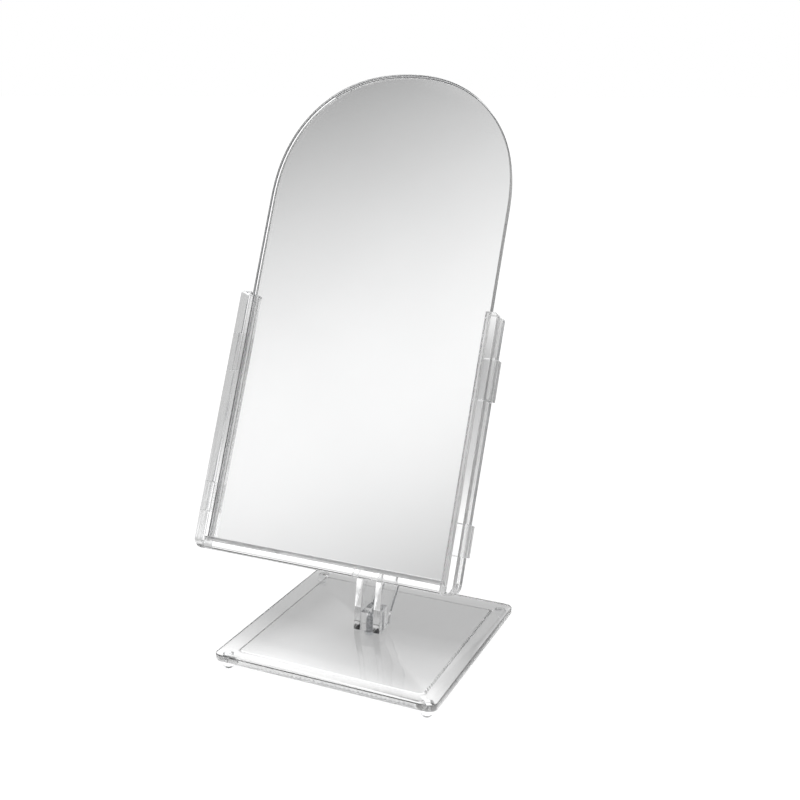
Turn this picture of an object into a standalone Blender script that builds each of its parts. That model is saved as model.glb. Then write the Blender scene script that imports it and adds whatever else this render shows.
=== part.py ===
"""Countertop mirror for an optician's desk: clear square base, bowed rear arm, tilting clear
frame with a lift-in arched mirror. Metres, +Z up, the mirror faces -Y, floor at z = 0."""

import math

import bmesh
import bpy
from mathutils import Vector

MM = 0.001

# Heights of the stand are measured from a level this far above the floor.
LIFT = 5.0

# Base tray, standing on four ball-ended feet.
BASE_SIZE = 180.0
BASE_CORNER = 7.0
BASE_BOTTOM = 3.8
BASE_TOP = 8.8
TRAY_RECESS = 76.0
TRAY_RECESS_DRAFT = 1.2
TRAY_CEILING = 5.8
FOOT_POSITION = 81.0
FOOT_RADIUS = 4.3
FOOT_PEG_RADIUS = 1.9
FOOT_PEG_TOP = 6.0

# Rear arm: two bowed cheeks on either side of a foot block.
CHEEK_INNER = 5.5
CHEEK_OUTER = 11.0
ARM_GAP = 0.2
BLOCK_HALF = 5.3
BLOCK_FRONT = -6.3
BLOCK_BACK = 13.5
BLOCK_TOP = 24.6
BASE_SCREW_Y = (-0.6, 8.6)
SPACER_Y = 29.0
SPACER_Z = 104.0
SPACER_RADIUS = 6.0

# Tilt axis, along X, straight above the middle of the base.
PIN_Y = 2.8
PIN_Z = 216.6
PIN_RADIUS = 3.0
CHEEK_EYE = 13.0
TILT = math.radians(23.73)

# Head frame: U across, V up the mirror, N out of the mirror's front face.
PIN_V = 140.5
PIN_N = -35.0
FRAME_INNER = 92.75
FRAME_OUTER = 101.5
FRAME_FRONT = 5.1
FRAME_BACK = -14.8
CHANNEL_TOP = 186.0
RAIL_TOP = 0.1
RAIL_BOTTOM = -9.1
RAIL_ROUND = 4.4
SLOT_FRONT = 0.3
SLOT_BACK = -7.8
SLOT_SIDE = 94.7
SLOT_BOTTOM = -3.0
JOINT_GAP = 0.2
STRAP_THICK = 4.0
UPPER_STRAP = (126.0, 155.0)
LOWER_STRAP = (18.0, 40.0)
PAD_THICK = 2.0
PAD_FRONT = 1.0

# Mirror: arched clear panel, silver coat and backing sheet.
PANEL_HALF = 94.4
PANEL_BOTTOM = -1.7
PANEL_THICK = 6.0
ARCH_BASE = 261.4
ARCH_HEIGHT = 99.2
ARCH_POWER = 2.21
SILVER_INSET = 1.0
BACKING_INSET = 0.4

LUG_HALF = 4.5
LUG_EYE = 10.5
LUG_PLATE_HALF = 22.0
LUG_PLATE_V = (127.5, 153.5)
LUG_PLATE_THICK = 4.0
LUG_SCREW_U = 15.0
LUG_SCREW_V = 8.0

CLEAR = (0.93, 0.95, 0.95, 1.0)
STEEL = (0.62, 0.63, 0.65, 1.0)
NYLON = (0.86, 0.86, 0.84, 1.0)


for old in list(bpy.data.objects):
    bpy.data.objects.remove(old, do_unlink=True)


def material(name, color, roughness, metallic=0.0, transmission=0.0):
    mat = bpy.data.materials.new(name)
    mat.use_nodes = True
    shader = mat.node_tree.nodes["Principled BSDF"]
    shader.inputs["Base Color"].default_value = color
    shader.inputs["Roughness"].default_value = roughness
    shader.inputs["Metallic"].default_value = metallic
    shader.inputs["Transmission Weight"].default_value = transmission
    shader.inputs["IOR"].default_value = 1.49
    return mat


def empty(name, location, tilt=0.0, parent=None):
    obj = bpy.data.objects.new(name, None)
    bpy.context.scene.collection.objects.link(obj)
    obj.location = location
    obj.rotation_euler = (tilt, 0.0, 0.0)
    obj.parent = parent
    return obj


def mesh_object(name, bm, parent, mat):
    bmesh.ops.recalc_face_normals(bm, faces=bm.faces)
    data = bpy.data.meshes.new(name)
    bm.to_mesh(data)
    bm.free()
    data.materials.append(mat)
    obj = bpy.data.objects.new(name, data)
    bpy.context.scene.collection.objects.link(obj)
    obj.parent = parent
    return obj


def prism_mesh(lower, upper):
    """Closed solid between two matching rings of 3-D points given in millimetres."""
    bm = bmesh.new()
    first = [bm.verts.new(Vector(p) * MM) for p in lower]
    second = [bm.verts.new(Vector(p) * MM) for p in upper]
    bm.faces.new(first)
    bm.faces.new(second)
    count = len(first)
    for i in range(count):
        j = (i + 1) % count
        bm.faces.new((first[i], first[j], second[j], second[i]))
    return bm


def box_mesh(low, high):
    x0, y0, z0 = low
    x1, y1, z1 = high
    ring = [(x0, y0), (x1, y0), (x1, y1), (x0, y1)]
    return prism_mesh([(x, y, z0) for x, y in ring], [(x, y, z1) for x, y in ring])


def lathe_mesh(profile, centre, axis, steps=24):
    """Solid of revolution from (radius, height) pairs, closed on its axis at both ends."""
    bm = bmesh.new()
    rings = []
    for radius, height in profile:
        count = 1 if radius == 0.0 else steps
        ring = []
        for i in range(count):
            turn = 2.0 * math.pi * i / steps
            side = radius * math.cos(turn)
            other = radius * math.sin(turn)
            if axis == "X":
                point = (height, side, other)
            elif axis == "Y":
                point = (side, height, other)
            else:
                point = (side, other, height)
            ring.append(bm.verts.new((Vector(point) + Vector(centre)) * MM))
        rings.append(ring)
    for low, high in zip(rings, rings[1:]):
        for i in range(steps):
            j = (i + 1) % steps
            if len(low) == 1:
                bm.faces.new((low[0], high[i], high[j]))
            elif len(high) == 1:
                bm.faces.new((low[i], low[j], high[0]))
            else:
                bm.faces.new((low[i], low[j], high[j], high[i]))
    return bm


def cylinder_mesh(radius, start, end, centre, axis, steps=24):
    profile = [(0.0, start), (radius, start), (radius, end), (0.0, end)]
    return lathe_mesh(profile, centre, axis, steps)


def combine(target, bm, operation, parent):
    """Adds an exact Boolean to the target, with a hidden wire-frame tool."""
    tool = mesh_object(target.name + "_tool", bm, parent, target.data.materials[0])
    tool.hide_render = True
    tool.display_type = "WIRE"
    modifier = target.modifiers.new("cut", "BOOLEAN")
    modifier.operation = operation
    modifier.solver = "EXACT"
    modifier.object = tool


def rounded_square(half, radius, z, steps=8):
    points = []
    for quarter in range(4):
        cx = (half - radius) * (1 if quarter in (0, 3) else -1)
        cy = (half - radius) * (1 if quarter in (0, 1) else -1)
        for i in range(steps + 1):
            turn = math.radians(90.0 * (quarter + i / steps))
            points.append((cx + radius * math.cos(turn), cy + radius * math.sin(turn), z))
    return points


def smooth_run(points, steps):
    """Catmull-Rom curve through the points, for the long edges of the arm."""
    padded = [points[0]] + points + [points[-1]]
    run = []
    for i in range(1, len(padded) - 2):
        p0, p1, p2, p3 = (Vector(p) for p in padded[i - 1 : i + 3])
        for s in range(steps):
            t = s / steps
            curve = 2.0 * p1 + (p2 - p0) * t
            curve += (2.0 * p0 - 5.0 * p1 + 4.0 * p2 - p3) * t * t
            curve += (3.0 * p1 - p0 - 3.0 * p2 + p3) * t * t * t
            run.append(tuple(curve * 0.5))
    run.append(points[-1])
    return run


def arm_outline():
    """Side view (Y, Z) of a cheek: narrow foot, bowed back, round eye at the tilt axis."""
    front = [(-7.0, BASE_TOP + ARM_GAP), (-5.6, 24.0), (-2.8, 41.0), (2.0, 68.0)]
    front += [(6.5, 98.0), (8.4, 128.0), (5.6, 156.0), (-2.0, 182.0), (-8.6, 201.0)]
    rear = [(25.0, 190.0), (38.0, 164.0), (46.5, 134.0), (50.0, 104.0), (48.5, 76.0)]
    rear += [(43.0, 52.0), (34.5, 35.5), (24.5, 24.6), (17.2, 16.8), (14.0, BASE_TOP + ARM_GAP)]
    outline = smooth_run(front, 4)
    for degrees in range(195, 20, -15):
        turn = math.radians(degrees)
        outline.append((PIN_Y + CHEEK_EYE * math.cos(turn), PIN_Z + CHEEK_EYE * math.sin(turn)))
    outline += smooth_run(rear, 4)
    return outline


def head_box(u_range, v_range, n_range):
    """Box in the head frame, as points about the tilt axis."""
    low = (u_range[0], PIN_N - n_range[1], v_range[0] - PIN_V)
    high = (u_range[1], PIN_N - n_range[0], v_range[1] - PIN_V)
    return box_mesh(low, high)


def head_plate(outline, n_front, n_back):
    """Flat plate from a (U, V) outline between two N levels."""
    front = [(u, PIN_N - n_front, v - PIN_V) for u, v in outline]
    back = [(u, PIN_N - n_back, v - PIN_V) for u, v in outline]
    return prism_mesh(front, back)


def panel_outline(inset):
    """Straight sides with a slightly squared arch, shrunk by an inset."""
    half = PANEL_HALF - inset
    height = ARCH_HEIGHT - inset
    points = [(-half, PANEL_BOTTOM + inset), (half, PANEL_BOTTOM + inset)]
    steps = 48
    for i in range(steps + 1):
        turn = math.pi * i / steps
        power = 2.0 / ARCH_POWER
        u = half * math.copysign(abs(math.cos(turn)) ** power, math.cos(turn))
        v = ARCH_BASE + height * math.sin(turn) ** power
        points.append((u, v))
    return points


def channel_outline(side):
    """Side member seen from the front: rounded lower outer corner, eased upper outer corner."""
    points = [(side * FRAME_INNER, RAIL_BOTTOM)]
    corner = 7.5
    for i in range(9):
        turn = math.radians(-90.0 + 90.0 * i / 8)
        u = FRAME_OUTER - corner + corner * math.cos(turn)
        v = RAIL_BOTTOM + corner + corner * math.sin(turn)
        points.append((side * u, v))
    ease = 2.5
    for i in range(5):
        turn = math.radians(90.0 * i / 4)
        u = FRAME_OUTER - ease + ease * math.cos(turn)
        v = CHANNEL_TOP - ease + ease * math.sin(turn)
        points.append((side * u, v))
    points.append((side * FRAME_INNER, CHANNEL_TOP))
    return points


def rail_section():
    """Rail cross-section (N, V): upward slot for the panel, rounded lower front edge."""
    points = [(FRAME_BACK, RAIL_BOTTOM)]
    for i in range(9):
        turn = math.radians(-90.0 + 90.0 * i / 8)
        n = FRAME_FRONT - RAIL_ROUND + RAIL_ROUND * math.cos(turn)
        v = RAIL_BOTTOM + RAIL_ROUND + RAIL_ROUND * math.sin(turn)
        points.append((n, v))
    points += [(FRAME_FRONT, RAIL_TOP), (SLOT_FRONT, RAIL_TOP), (SLOT_FRONT, SLOT_BOTTOM)]
    points += [(SLOT_BACK, SLOT_BOTTOM), (SLOT_BACK, RAIL_TOP), (FRAME_BACK, RAIL_TOP)]
    return points


root = empty("base_root", (0.0, 0.0, LIFT * MM))
head = empty("head_pivot", (0.0, PIN_Y * MM, (PIN_Z + LIFT) * MM), -TILT)
knob_pivot = empty("knob_pivot", (0.0, PIN_Y * MM, (PIN_Z + LIFT) * MM))

# Base tray.
tray = mesh_object(
    "base_tray",
    prism_mesh(
        rounded_square(BASE_SIZE / 2, BASE_CORNER, BASE_BOTTOM),
        rounded_square(BASE_SIZE / 2, BASE_CORNER, BASE_TOP),
    ),
    root,
    material("base_tray", CLEAR, 0.04, 0.0, 1.0),
)
combine(
    tray,
    prism_mesh(
        rounded_square(TRAY_RECESS + TRAY_RECESS_DRAFT, 4.0, BASE_BOTTOM - 1.0),
        rounded_square(TRAY_RECESS - TRAY_RECESS_DRAFT, 4.0, TRAY_CEILING),
    ),
    "DIFFERENCE",
    root,
)
for y in BASE_SCREW_Y:
    combine(tray, cylinder_mesh(2.3, 1.0, 12.0, (0, y, 0), "Z"), "DIFFERENCE", root)
FEET = {
    "foot_front_left": (-1, -1),
    "foot_front_right": (1, -1),
    "foot_back_left": (-1, 1),
    "foot_back_right": (1, 1),
}
for name, (sx, sy) in FEET.items():
    spot = (sx * FOOT_POSITION, sy * FOOT_POSITION, 0.0)
    combine(tray, cylinder_mesh(2.2, 1.0, 6.4, spot, "Z"), "DIFFERENCE", root)
    dome = [(0.0, -LIFT), (2.0, -LIFT), (2.9, 0.4 - LIFT), (3.7, 1.2 - LIFT), (4.15, 2.2 - LIFT)]
    dome += [(FOOT_RADIUS, 3.4 - LIFT), (FOOT_RADIUS, BASE_BOTTOM - 0.1)]
    dome += [(FOOT_PEG_RADIUS, BASE_BOTTOM - 0.1), (FOOT_PEG_RADIUS, FOOT_PEG_TOP)]
    dome += [(0.0, FOOT_PEG_TOP)]
    mesh_object(name, lathe_mesh(dome, spot, "Z"), root, material(name, CLEAR, 0.2, 0.0, 0.9))

# Foot block and the two screws that hold the arm to the tray.
block = mesh_object(
    "arm_foot_block",
    box_mesh(
        (-BLOCK_HALF, BLOCK_FRONT, BASE_TOP + ARM_GAP), (BLOCK_HALF, BLOCK_BACK, BLOCK_TOP)
    ),
    root,
    material("arm_foot_block", CLEAR, 0.04, 0.0, 1.0),
)
for tag, y in zip(("front", "back"), BASE_SCREW_Y):
    combine(block, cylinder_mesh(2.2, 7.0, 22.6, (0, y, 0), "Z"), "DIFFERENCE", root)
    shank = [(0.0, 2.6), (2.6, 2.6), (3.7, 3.2), (3.7, 4.7), (2.0, 4.7), (2.0, 21.0)]
    shank += [(1.2, 22.0), (0.0, 22.0)]
    name = "base_screw_" + tag
    mesh_object(name, lathe_mesh(shank, (0, y, 0), "Z"), root, material(name, STEEL, 0.3, 1.0))
    name = "base_washer_" + tag
    washer = mesh_object(
        name, cylinder_mesh(4.3, 4.8, 5.65, (0, y, 0), "Z"), root, material(name, STEEL, 0.35, 1.0)
    )
    combine(washer, cylinder_mesh(2.2, 4.0, 7.0, (0, y, 0), "Z"), "DIFFERENCE", root)

# Cheeks of the arm.
outline = arm_outline()
for name, side in (("cheek_left", -1), ("cheek_right", 1)):
    cheek = mesh_object(
        name,
        prism_mesh(
            [(side * CHEEK_INNER, y, z) for y, z in outline],
            [(side * CHEEK_OUTER, y, z) for y, z in outline],
        ),
        root,
        material(name, CLEAR, 0.04, 0.0, 1.0),
    )
    reach = (side * (CHEEK_INNER - 2.0), side * (CHEEK_OUTER + 2.0))
    eye = (0.0, PIN_Y, PIN_Z)
    combine(cheek, cylinder_mesh(3.2, *reach, eye, "X"), "DIFFERENCE", root)
    hole = (0.0, SPACER_Y, SPACER_Z)
    combine(cheek, cylinder_mesh(2.2, *reach, hole, "X"), "DIFFERENCE", root)

# Spacer half-way up the arm, with its through screw and dome nut.
middle = (0.0, SPACER_Y, SPACER_Z)
spacer = mesh_object(
    "arm_spacer",
    cylinder_mesh(SPACER_RADIUS, -BLOCK_HALF, BLOCK_HALF, middle, "X", 32),
    root,
    material("arm_spacer", CLEAR, 0.06, 0.0, 1.0),
)
combine(spacer, cylinder_mesh(2.2, -8.0, 8.0, middle, "X"), "DIFFERENCE", root)
through = [(0.0, -13.9), (1.8, -13.8), (3.2, -13.2), (3.8, -12.2), (3.8, -11.1), (2.0, -11.1)]
through += [(2.0, 14.0), (0.0, 14.0)]
mesh_object(
    "arm_spacer_screw",
    lathe_mesh(through, middle, "X"),
    root,
    material("arm_spacer_screw", STEEL, 0.25, 1.0),
)
nut = mesh_object(
    "arm_spacer_nut",
    lathe_mesh(
        [(0.0, 11.1), (3.6, 11.1), (3.6, 14.4), (3.0, 15.6), (1.8, 16.4), (0.0, 16.7)], middle, "X", 24
    ),
    root,
    material("arm_spacer_nut", STEEL, 0.25, 1.0),
)
combine(nut, cylinder_mesh(2.2, 10.0, 14.8, middle, "X"), "DIFFERENCE", root)

# Tilt bolt, friction washers, outer washer and tension knob.
axis = (0.0, PIN_Y, PIN_Z)
bolt = [(0.0, -15.4), (2.6, -15.3), (4.6, -14.4), (5.8, -12.9), (5.8, -11.1)]
bolt += [(PIN_RADIUS, -11.1), (PIN_RADIUS, 20.0), (0.0, 20.0)]
mesh_object(
    "pivot_bolt", lathe_mesh(bolt, axis, "X"), root, material("pivot_bolt", STEEL, 0.25, 1.0)
)
WASHERS = {
    "friction_washer_left": (-5.4, -4.65, 8.5, NYLON, 0.0),
    "friction_washer_right": (4.65, 5.4, 8.5, NYLON, 0.0),
    "knob_washer": (11.1, 12.0, 7.0, STEEL, 1.0),
}
for name, (start, end, radius, color, metal) in WASHERS.items():
    ring = mesh_object(
        name, cylinder_mesh(radius, start, end, axis, "X"), root, material(name, color, 0.4, metal)
    )
    combine(ring, cylinder_mesh(3.2, start - 2.0, end + 2.0, axis, "X"), "DIFFERENCE", root)


def knob_ring(x, scale):
    """Fluted outline of the tension knob about the tilt axis."""
    points = []
    for i in range(64):
        turn = 2.0 * math.pi * i / 64
        radius = scale * (10.4 + 0.6 * math.cos(16.0 * turn))
        points.append((x, radius * math.cos(turn), radius * math.sin(turn)))
    return points


knob = mesh_object(
    "tension_knob",
    prism_mesh(knob_ring(12.15, 1.0), knob_ring(23.0, 0.94)),
    knob_pivot,
    material("tension_knob", CLEAR, 0.08, 0.0, 0.9),
)
combine(knob, cylinder_mesh(3.2, 10.0, 20.6, (0, 0, 0), "X"), "DIFFERENCE", knob_pivot)

# Frame of the head: two side channels, bottom rail, two rear straps and four side pads.
for name, side in (("channel_left", -1), ("channel_right", 1)):
    channel = mesh_object(
        name,
        head_plate(channel_outline(side), FRAME_FRONT, FRAME_BACK),
        head,
        material(name, CLEAR, 0.04, 0.0, 1.0),
    )
    slot_u = sorted((side * (FRAME_INNER - 3.0), side * SLOT_SIDE))
    slot = head_box(slot_u, (SLOT_BOTTOM, CHANNEL_TOP + 5.0), (SLOT_BACK, SLOT_FRONT))
    combine(channel, slot, "DIFFERENCE", head)
    wide_u = sorted((side * (FRAME_INNER - 3.0), side * (FRAME_OUTER + 3.0)))
    for low, high in (UPPER_STRAP, LOWER_STRAP):
        notch_n = (FRAME_BACK - 3.0, FRAME_BACK + STRAP_THICK + JOINT_GAP)
        notch = head_box(wide_u, (low - JOINT_GAP, high + JOINT_GAP), notch_n)
        combine(channel, notch, "DIFFERENCE", head)

rail_half = FRAME_INNER - JOINT_GAP
section = rail_section()
mesh_object(
    "bottom_rail",
    prism_mesh(
        [(-rail_half, PIN_N - n, v - PIN_V) for n, v in section],
        [(rail_half, PIN_N - n, v - PIN_V) for n, v in section],
    ),
    head,
    material("bottom_rail", CLEAR, 0.04, 0.0, 1.0),
)

strap_n = (FRAME_BACK, FRAME_BACK + STRAP_THICK)
strap_u = (-FRAME_OUTER, FRAME_OUTER)
upper_strap = mesh_object(
    "upper_strap",
    head_box(strap_u, UPPER_STRAP, strap_n),
    head,
    material("upper_strap", CLEAR, 0.04, 0.0, 1.0),
)
mesh_object(
    "lower_strap",
    head_box(strap_u, LOWER_STRAP, strap_n),
    head,
    material("lower_strap", CLEAR, 0.04, 0.0, 1.0),
)
for level, v_range in (("upper", UPPER_STRAP), ("lower", LOWER_STRAP)):
    for tag, side in (("left", -1), ("right", 1)):
        name = "side_pad_" + level + "_" + tag
        inner = FRAME_OUTER + JOINT_GAP / 2
        pad_u = sorted((side * inner, side * (inner + PAD_THICK)))
        mesh_object(
            name,
            head_box(pad_u, v_range, (FRAME_BACK, PAD_FRONT)),
            head,
            material(name, CLEAR, 0.04, 0.0, 1.0),
        )

# Mirror panel, silver coat, backing sheet and two cushions in the rail.
mesh_object(
    "mirror_panel",
    head_plate(panel_outline(0.0), 0.0, -PANEL_THICK),
    head,
    material("mirror_panel", CLEAR, 0.02, 0.0, 1.0),
)
mesh_object(
    "mirror_silver",
    head_plate(panel_outline(SILVER_INSET), -PANEL_THICK - 0.1, -PANEL_THICK - 0.35),
    head,
    material("mirror_silver", (0.92, 0.93, 0.93, 1.0), 0.02, 1.0),
)
mesh_object(
    "mirror_backing",
    head_plate(panel_outline(BACKING_INSET), -PANEL_THICK - 0.5, -PANEL_THICK - 1.6),
    head,
    material("mirror_backing", (0.32, 0.33, 0.35, 1.0), 0.5),
)
for name, side in (("rail_cushion_left", -1), ("rail_cushion_right", 1)):
    cushion_u = sorted((side * 35.0, side * 75.0))
    mesh_object(
        name,
        head_box(cushion_u, (SLOT_BOTTOM + 0.1, PANEL_BOTTOM - 0.15), (-6.8, -0.7)),
        head,
        material(name, CLEAR, 0.3, 0.0, 0.8),
    )

# Hinge lug on the back of the upper strap, turning on the tilt bolt, and its four screws.
plate_front = FRAME_BACK - JOINT_GAP
plate_back = plate_front - LUG_PLATE_THICK
lug = mesh_object(
    "hinge_lug",
    head_box((-LUG_PLATE_HALF, LUG_PLATE_HALF), LUG_PLATE_V, (plate_back, plate_front)),
    head,
    material("hinge_lug", CLEAR, 0.05, 0.0, 1.0),
)
web = [(plate_front - 1.0 - PIN_N, 12.5), (plate_front - 1.0 - PIN_N, -12.5)]
for degrees in range(-75, -286, -15):
    turn = math.radians(degrees)
    web.append((LUG_EYE * math.cos(turn), LUG_EYE * math.sin(turn)))
combine(
    lug,
    prism_mesh(
        [(-LUG_HALF, -n, v) for n, v in web],
        [(LUG_HALF, -n, v) for n, v in web],
    ),
    "UNION",
    head,
)
combine(lug, cylinder_mesh(3.2, -8.0, 8.0, (0, 0, 0), "X"), "DIFFERENCE", head)
SCREWS = {
    "hinge_screw_upper_left": (-1, 1),
    "hinge_screw_upper_right": (1, 1),
    "hinge_screw_lower_left": (-1, -1),
    "hinge_screw_lower_right": (1, -1),
}
for name, (su, sv) in SCREWS.items():
    spot = (su * LUG_SCREW_U, 0.0, sv * LUG_SCREW_V)
    shank_end = PIN_N - (FRAME_BACK + 2.8)
    head_face = PIN_N - plate_back + 0.1
    combine(lug, cylinder_mesh(1.7, head_face + 4.0, head_face - 8.0, spot, "Y"), "DIFFERENCE", head)
    bore = cylinder_mesh(1.7, head_face - 3.0, shank_end - 0.3, spot, "Y")
    combine(upper_strap, bore, "DIFFERENCE", head)
    screw = [(0.0, shank_end), (1.0, shank_end), (1.5, shank_end + 0.5), (1.5, head_face)]
    screw += [(2.8, head_face), (2.8, head_face + 1.2), (1.9, head_face + 1.9), (0.0, head_face + 2.0)]
    mesh_object(name, lathe_mesh(screw, spot, "Y", 20), head, material(name, STEEL, 0.3, 1.0))
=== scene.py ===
"""Looks for the countertop mirror: clear polished acrylic, a silvered arched mirror and bright
screws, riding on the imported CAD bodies, with a pale floor, soft light and the camera."""

import math

import bmesh
import bpy
from mathutils import Matrix, Vector


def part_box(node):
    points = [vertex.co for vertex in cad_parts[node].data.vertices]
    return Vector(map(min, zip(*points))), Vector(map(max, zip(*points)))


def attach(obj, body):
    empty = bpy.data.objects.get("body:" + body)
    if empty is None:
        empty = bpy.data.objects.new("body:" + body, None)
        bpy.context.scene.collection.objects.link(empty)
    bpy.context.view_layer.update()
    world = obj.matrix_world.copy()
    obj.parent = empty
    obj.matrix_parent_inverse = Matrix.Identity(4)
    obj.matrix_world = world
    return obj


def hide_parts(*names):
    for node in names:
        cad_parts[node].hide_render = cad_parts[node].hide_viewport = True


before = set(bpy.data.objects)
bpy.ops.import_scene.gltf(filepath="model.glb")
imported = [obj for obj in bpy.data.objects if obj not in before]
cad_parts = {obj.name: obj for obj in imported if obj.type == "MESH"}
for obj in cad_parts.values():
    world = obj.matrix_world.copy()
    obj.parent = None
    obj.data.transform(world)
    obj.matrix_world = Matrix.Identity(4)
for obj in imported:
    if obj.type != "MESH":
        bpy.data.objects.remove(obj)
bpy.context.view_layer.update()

MM = 0.001

LIFT = 5.0  # the stand's own drawing starts this far above the table


def box_mm(node):
    """A CAD node's lowest and highest corner, in millimetres, with heights as the stand is drawn."""
    low, high = (Vector(corner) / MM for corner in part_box(node))
    return low - Vector((0.0, 0.0, LIFT)), high - Vector((0.0, 0.0, LIFT))


def centre_mm(node):
    low, high = box_mm(node)
    return (low + high) / 2.0


# Sizes read from the CAD bodies, in millimetres.
tray_low, tray_high = box_mm("base_tray")
block_low, block_high = box_mm("arm_foot_block")
cheek_low, cheek_high = box_mm("cheek_right")
BASE_HALF = tray_high.x
BASE_BOTTOM = tray_low.z
BASE_TOP = tray_high.z
FOOT_POSITION = centre_mm("foot_front_right").x
CHEEK_INNER = cheek_low.x
CHEEK_OUTER = cheek_high.x
BLOCK_HALF = block_high.x
BLOCK_FRONT = block_low.y
BLOCK_BACK = block_high.y
BLOCK_TOP = block_high.z
BASE_SCREW_Y = (centre_mm("base_screw_front").y, centre_mm("base_screw_back").y)
SPACER = tuple(centre_mm("arm_spacer"))
PIN = (0.0, centre_mm("pivot_bolt").y, centre_mm("pivot_bolt").z)

# Sizes shared with the CAD that a body's box does not show, in millimetres.
BASE_CORNER = 7.0
TRAY_RECESS = 76.0
TRAY_DRAFT = 1.2
TRAY_CEILING = 5.8
PIN_V = 140.5
PIN_N = -35.0
CHEEK_EYE = 13.0
TILT = math.radians(23.73)
FRAME_INNER = 92.75
FRAME_OUTER = 101.5
FRAME_FRONT = 5.1
FRAME_BACK = -14.8
CHANNEL_TOP = 186.0
RAIL_TOP = 0.1
RAIL_BOTTOM = -9.1
RAIL_ROUND = 4.4
SLOT_FRONT = 0.3
SLOT_BACK = -7.8
SLOT_SIDE = 94.7
SLOT_BOTTOM = -3.0
STRAP_THICK = 4.0
UPPER_STRAP = (126.0, 155.0)
LOWER_STRAP = (18.0, 40.0)
PAD_THICK = 2.0
PAD_FRONT = 1.0
PANEL_HALF = 94.4
PANEL_BOTTOM = -1.7
PANEL_THICK = 6.0
ARCH_BASE = 261.4
ARCH_HEIGHT = 99.2
ARCH_POWER = 2.21

STAND = Matrix.Translation((0.0, 0.0, LIFT * MM))
HEAD = STAND @ Matrix.Translation(Vector(PIN) * MM) @ Matrix.Rotation(-TILT, 4, "X")


# ---------------------------------------------------------------- mesh helpers


def new_object(name, bm, matrix, body, nodes, materials, bevel=0.0):
    """Links a mesh made in millimetres, places it, bevels its sharp edges and puts it on a body."""
    bmesh.ops.scale(bm, vec=(MM, MM, MM), verts=bm.verts)
    bmesh.ops.recalc_face_normals(bm, faces=bm.faces)
    bmesh.ops.transform(bm, matrix=matrix, verts=bm.verts)
    data = bpy.data.meshes.new(name)
    bm.to_mesh(data)
    bm.free()
    for polygon in data.polygons:
        polygon.use_smooth = True
    for mat in materials:
        data.materials.append(mat)
    obj = bpy.data.objects.new(name, data)
    bpy.context.scene.collection.objects.link(obj)
    if bevel > 0.0:
        modifier = obj.modifiers.new("edge", "BEVEL")
        modifier.width = bevel * MM
        modifier.segments = 3
        modifier.limit_method = "ANGLE"
        modifier.angle_limit = math.radians(32.0)
        modifier.harden_normals = True
    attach(obj, body)
    if nodes:
        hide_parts(*nodes)
    return obj


def sharpen(bm, degrees=32.0):
    """Marks the sharp edges, so smooth shading stays on the curved faces only."""
    bmesh.ops.recalc_face_normals(bm, faces=bm.faces)
    bm.normal_update()
    for edge in bm.edges:
        if len(edge.link_faces) == 2 and edge.calc_face_angle(0.0) > math.radians(degrees):
            edge.smooth = False
    return bm


def prism(lower, upper):
    bm = bmesh.new()
    first = [bm.verts.new(p) for p in lower]
    second = [bm.verts.new(p) for p in upper]
    bm.faces.new(first)
    bm.faces.new(second)
    for i in range(len(first)):
        j = (i + 1) % len(first)
        bm.faces.new((first[i], first[j], second[j], second[i]))
    return bm


def box(low, high):
    x0, y0, z0 = low
    x1, y1, z1 = high
    ring = [(x0, y0), (x1, y0), (x1, y1), (x0, y1)]
    return prism([(x, y, z0) for x, y in ring], [(x, y, z1) for x, y in ring])


def lathe(profile, centre, axis, steps=48):
    """Solid of revolution from (radius, height) pairs; a zero radius closes the end."""
    bm = bmesh.new()
    rings = []
    for radius, height in profile:
        ring = []
        for i in range(1 if radius == 0.0 else steps):
            turn = 2.0 * math.pi * i / steps
            side, other = radius * math.cos(turn), radius * math.sin(turn)
            point = {"X": (height, side, other), "Y": (side, height, other), "Z": (side, other, height)}[axis]
            ring.append(bm.verts.new(Vector(point) + Vector(centre)))
        rings.append(ring)
    for low, high in zip(rings, rings[1:]):
        for i in range(steps):
            j = (i + 1) % steps
            if len(low) == 1 and len(high) == 1:
                continue
            if len(low) == 1:
                bm.faces.new((low[0], high[i], high[j]))
            elif len(high) == 1:
                bm.faces.new((low[i], low[j], high[0]))
            else:
                bm.faces.new((low[i], low[j], high[j], high[i]))
    return bm


def tube(inner, outer, start, end, centre, axis, steps=48):
    """Ring with a bore, such as a washer or a spacer."""
    bm = bmesh.new()
    loops = []
    for radius, height in ((outer, start), (outer, end), (inner, end), (inner, start)):
        ring = []
        for i in range(steps):
            turn = 2.0 * math.pi * i / steps
            side, other = radius * math.cos(turn), radius * math.sin(turn)
            point = {"X": (height, side, other), "Y": (side, height, other), "Z": (side, other, height)}[axis]
            ring.append(bm.verts.new(Vector(point) + Vector(centre)))
        loops.append(ring)
    for k in range(4):
        low, high = loops[k], loops[(k + 1) % 4]
        for i in range(steps):
            j = (i + 1) % steps
            bm.faces.new((low[i], low[j], high[j], high[i]))
    return bm


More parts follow.
